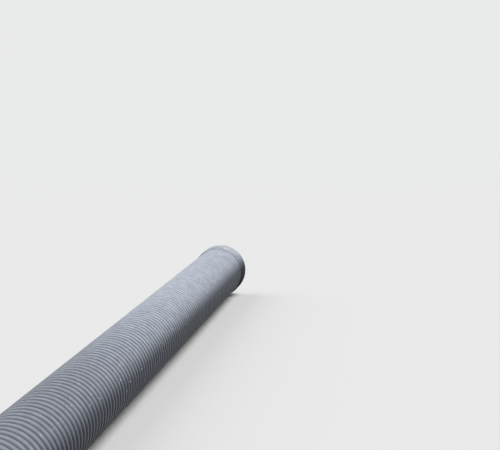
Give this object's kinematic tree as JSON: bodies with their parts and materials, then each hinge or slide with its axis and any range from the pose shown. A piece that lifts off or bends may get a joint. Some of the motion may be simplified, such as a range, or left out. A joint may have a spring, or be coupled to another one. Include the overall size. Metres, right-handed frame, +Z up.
{
  "type": "corrugated plastic pipe",
  "caption": "Double-wall corrugated plastic drain pipe, one length of stock with a socket at one end and a plain spigot at the other.",
  "frame": {"origin": "on the floor plane under the middle of the pipe's length and axis", "axes": "+X along the pipe's axis and out of its socket, +Z up"},
  "size_m": [3, 0.2092, 0.2096],
  "materials": {
    "outer_wall": "satin grey polyethylene, dusty"
  },
  "bodies": {
    "root": {"pipe": "outer_wall"}
  },
  "joints": []
}
